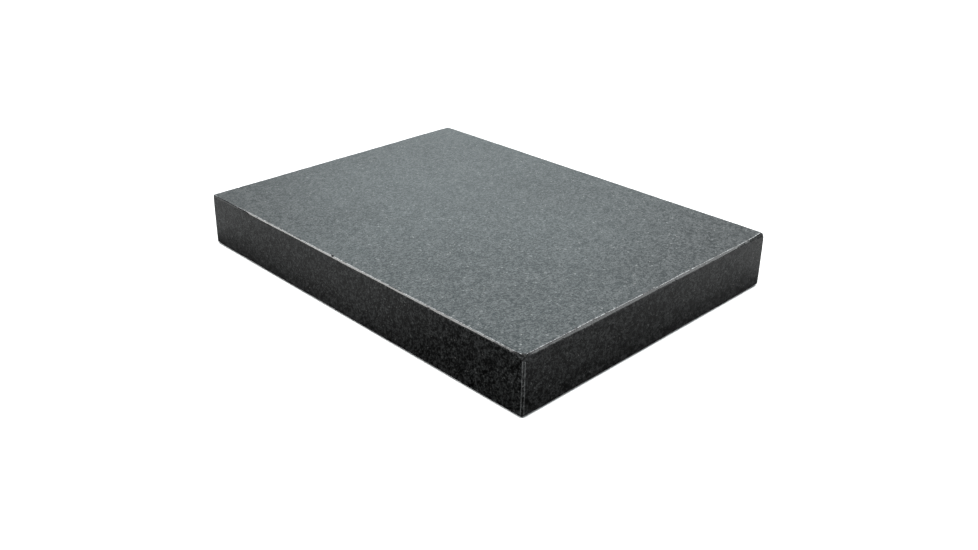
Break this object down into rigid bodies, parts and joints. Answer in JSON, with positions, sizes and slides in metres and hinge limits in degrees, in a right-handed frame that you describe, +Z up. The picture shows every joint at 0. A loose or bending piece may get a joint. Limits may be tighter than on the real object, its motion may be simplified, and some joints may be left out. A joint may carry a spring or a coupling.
{
  "type": "granite slab",
  "caption": "Flat rectangular slab of dark fine-grained granite with a satin lapped working face and bevelled edges, a heavy base for stamping and tooling leather.",
  "frame": {"origin": "centre of the underside, where the slab rests on the bench", "axes": "+X along the long side, +Y along the short side, +Z up, out of the working face"},
  "size_m": [0.3048, 0.2286, 0.0381],
  "materials": {
    "granite": "satin, lapped working face and honed sides, fine pale flecks"
  },
  "bodies": {
    "root": {"granite_slab": "granite"}
  },
  "joints": []
}
